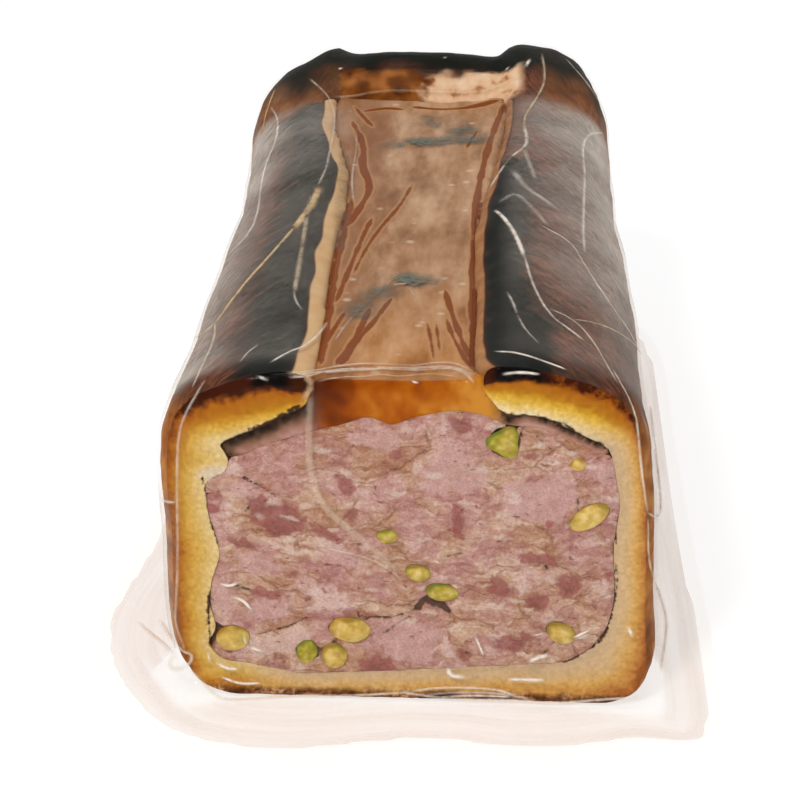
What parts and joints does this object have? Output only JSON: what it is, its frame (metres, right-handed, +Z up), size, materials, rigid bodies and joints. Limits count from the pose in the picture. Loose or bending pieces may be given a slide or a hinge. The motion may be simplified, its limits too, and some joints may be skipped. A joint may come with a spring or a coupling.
{
  "type": "pate en croute in a vacuum pack",
  "caption": "Half a loaf of pate en croute, cut flat at one end, with forcemeat, pistachios and jelly in a pastry crust, sealed in a clear vacuum pack with a flat flange.",
  "frame": {"origin": "middle of the pack's outline on the table, at the underside of its flat web", "axes": "+Y along the loaf from the cut face to the baked end, +Z up, +X to the right as the cut face is seen"},
  "size_m": [0.161, 0.283, 0.0999],
  "materials": {
    "crust": "baked pastry, cream to golden on the cut, brown outside and nearly black along the folds",
    "forcemeat": "cooked pink forcemeat, moist, with paler and redder pieces of ham",
    "jelly": "amber jelly, glossy and slightly clear",
    "pistachio": "yellow green kernel with a darker skin at its rim",
    "film": "clear glossy vacuum film with fine creases"
  },
  "bodies": {
    "root": {"crust": "crust", "forcemeat": "forcemeat", "jelly": "jelly", "pistachio_01": "pistachio", "pistachio_02": "pistachio", "pistachio_03": "pistachio", "pistachio_04": "pistachio", "pistachio_05": "pistachio", "pistachio_06": "pistachio", "pistachio_07": "pistachio", "pistachio_08": "pistachio", "pistachio_09": "pistachio", "pistachio_10": "pistachio", "pistachio_11": "pistachio", "film_base": "film", "film_top": "film"}
  },
  "joints": []
}
